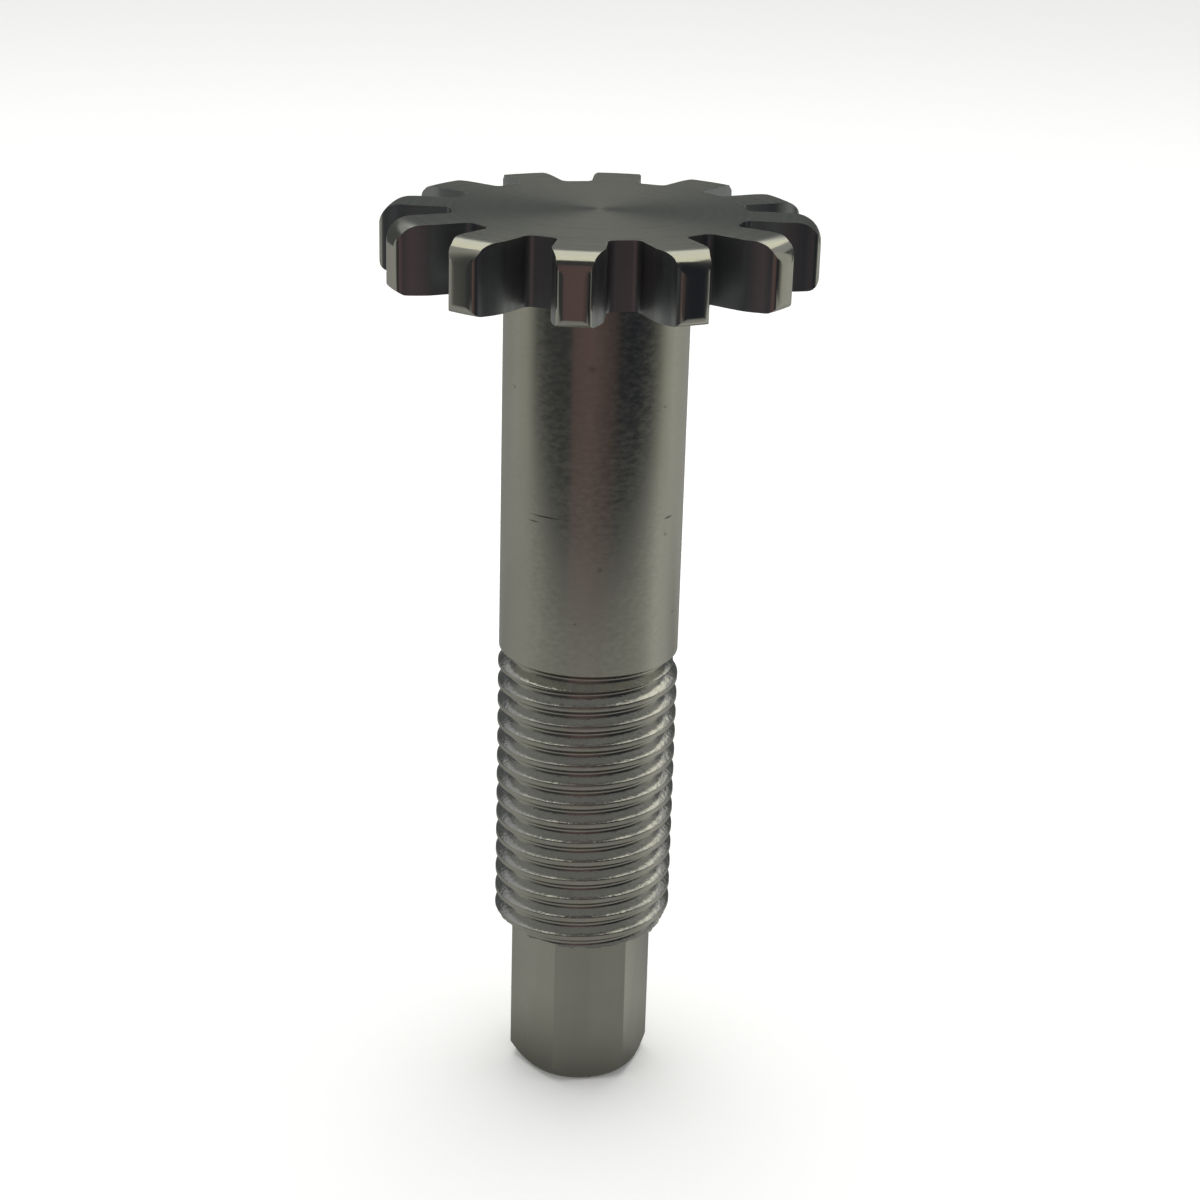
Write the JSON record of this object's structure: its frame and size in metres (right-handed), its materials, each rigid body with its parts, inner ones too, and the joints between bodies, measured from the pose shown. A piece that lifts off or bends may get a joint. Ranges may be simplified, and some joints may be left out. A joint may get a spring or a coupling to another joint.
{
  "type": "toothed-head threaded stud",
  "caption": "Steel stud with a toothed pinion head, plain round shank, fine right-hand thread and hexagonal drive end, for use as an adjuster or gear-driven screw.",
  "frame": {"origin": "centre of the flat end of the hexagon, which the stud stands on", "axes": "+Z along the stud's axis, from the hexagon to the toothed head; -Y faces the picture's camera"},
  "size_m": [0.0254, 0.0254, 0.0551],
  "materials": {
    "steel": "turned and milled bare steel, satin"
  },
  "bodies": {
    "root": {"stud": "steel"}
  },
  "joints": []
}
